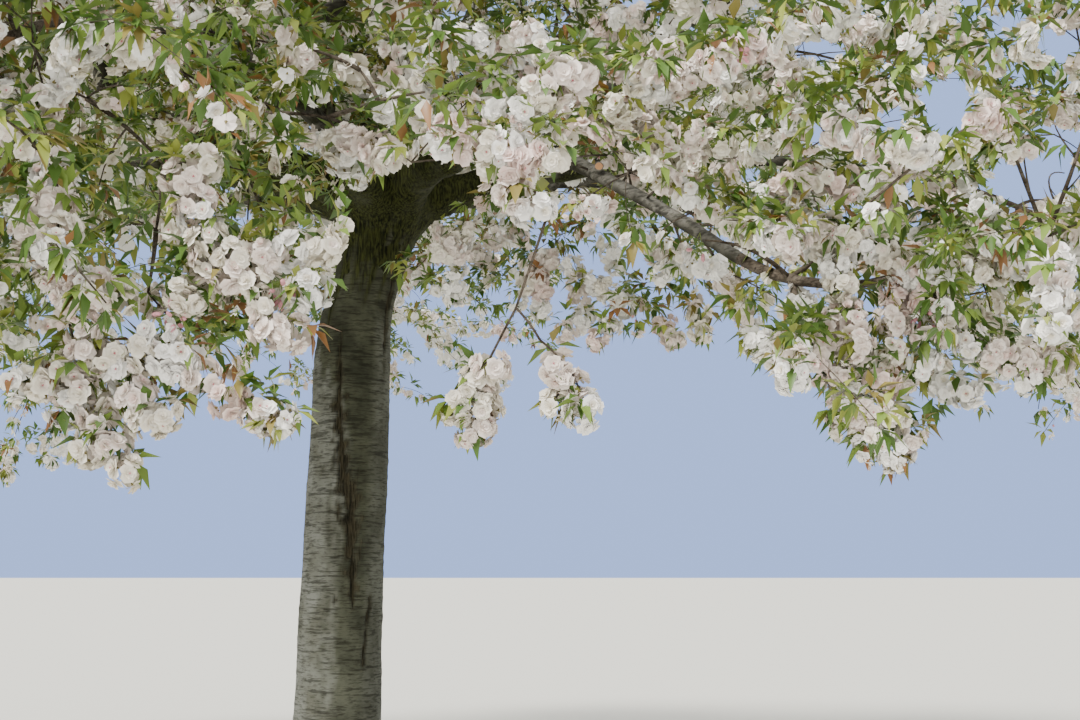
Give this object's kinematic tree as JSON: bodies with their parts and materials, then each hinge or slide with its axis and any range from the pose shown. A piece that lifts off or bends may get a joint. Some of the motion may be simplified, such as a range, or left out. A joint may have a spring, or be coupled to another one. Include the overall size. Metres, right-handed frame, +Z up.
{
  "type": "white cherry blossom tree",
  "caption": "Rooted double-flowered white cherry tree: a leaning trunk with a flared foot, spreading boughs and a wide, drooping crown of blossom and young leaf.",
  "frame": {"origin": "middle of the flat cut under the trunk, at ground level", "axes": "+Z up the trunk, -Y towards the viewer of the picture, +X to the viewer's right"},
  "size_m": [7.1742, 7.1384, 4.9926],
  "materials": {
    "trunk_bark": "silvery grey cherry bark with dark bands, rough",
    "bough_bark": "dark grey-brown bark, mossy, rough",
    "blossom": "soft white double blossom flushed pale pink, with young leaves"
  },
  "bodies": {
    "root": {"trunk": "trunk_bark", "bough_back": "bough_bark", "bough_back_left": "bough_bark", "bough_back_right": "bough_bark", "bough_front": "bough_bark", "bough_front_left": "bough_bark", "bough_front_right": "bough_bark", "bough_inner_1": "bough_bark", "bough_inner_2": "bough_bark", "bough_inner_3": "bough_bark", "bough_inner_4": "bough_bark", "bough_leader": "bough_bark", "bough_left": "bough_bark", "bough_right": "bough_bark", "bough_rising_1": "bough_bark", "bough_rising_2": "bough_bark", "bough_rising_3": "bough_bark", "bough_rising_4": "bough_bark", "bough_side_1": "bough_bark", "bough_side_2": "bough_bark", "bough_side_3": "bough_bark", "bough_side_4": "bough_bark", "bough_side_5": "bough_bark", "bough_side_6": "bough_bark", "bough_side_7": "bough_bark", "bough_side_8": "bough_bark", "blossom_back": "blossom", "blossom_back_left": "blossom", "blossom_back_right": "blossom", "blossom_front": "blossom", "blossom_front_left": "blossom", "blossom_front_right": "blossom", "blossom_inner_1": "blossom", "blossom_inner_2": "blossom", "blossom_inner_3": "blossom", "blossom_inner_4": "blossom", "blossom_leader": "blossom", "blossom_left": "blossom", "blossom_right": "blossom", "blossom_rising_1": "blossom", "blossom_rising_2": "blossom", "blossom_rising_3": "blossom", "blossom_rising_4": "blossom", "blossom_side_1": "blossom", "blossom_side_2": "blossom", "blossom_side_3": "blossom", "blossom_side_4": "blossom", "blossom_side_5": "blossom", "blossom_side_6": "blossom", "blossom_side_7": "blossom", "blossom_side_8": "blossom"}
  },
  "joints": []
}
